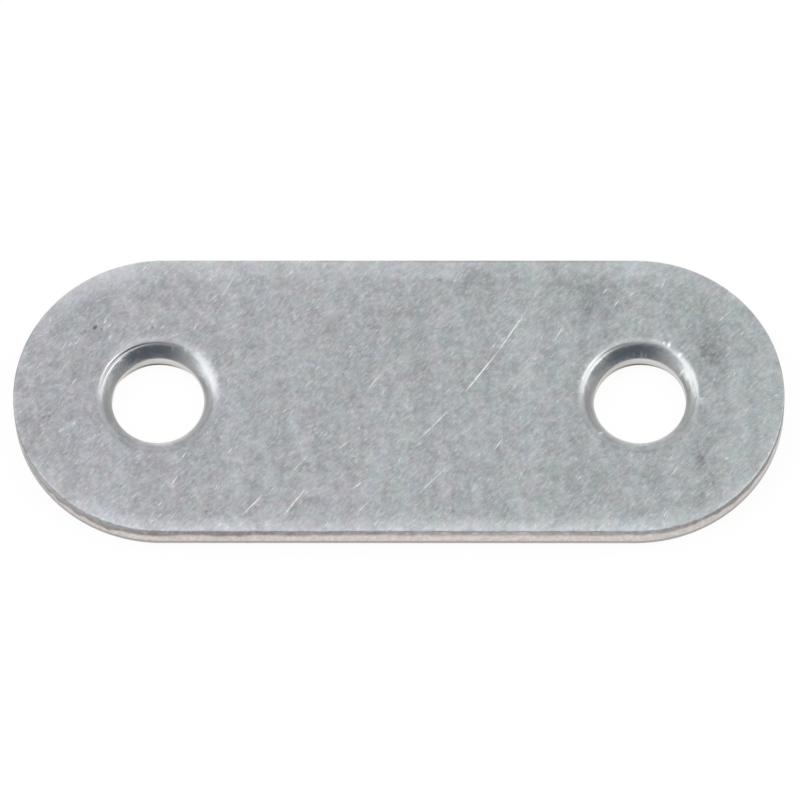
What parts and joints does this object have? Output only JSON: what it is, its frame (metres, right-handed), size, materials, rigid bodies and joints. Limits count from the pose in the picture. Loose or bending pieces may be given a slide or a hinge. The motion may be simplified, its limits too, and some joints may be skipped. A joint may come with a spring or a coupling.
{
  "type": "mending plate",
  "caption": "Flat zinc-plated steel mending plate with full-round ends and a countersunk screw hole near each end.",
  "frame": {"origin": "centre of the flat underside, midway between the two screw holes", "axes": "+X along the length, +Y across the width, +Z out of the countersunk face"},
  "size_m": [0.04, 0.0154, 0.0016],
  "materials": {
    "zinc_steel": "zinc plated, dull and lightly scuffed"
  },
  "bodies": {
    "root": {"mending_plate": "zinc_steel"}
  },
  "joints": []
}
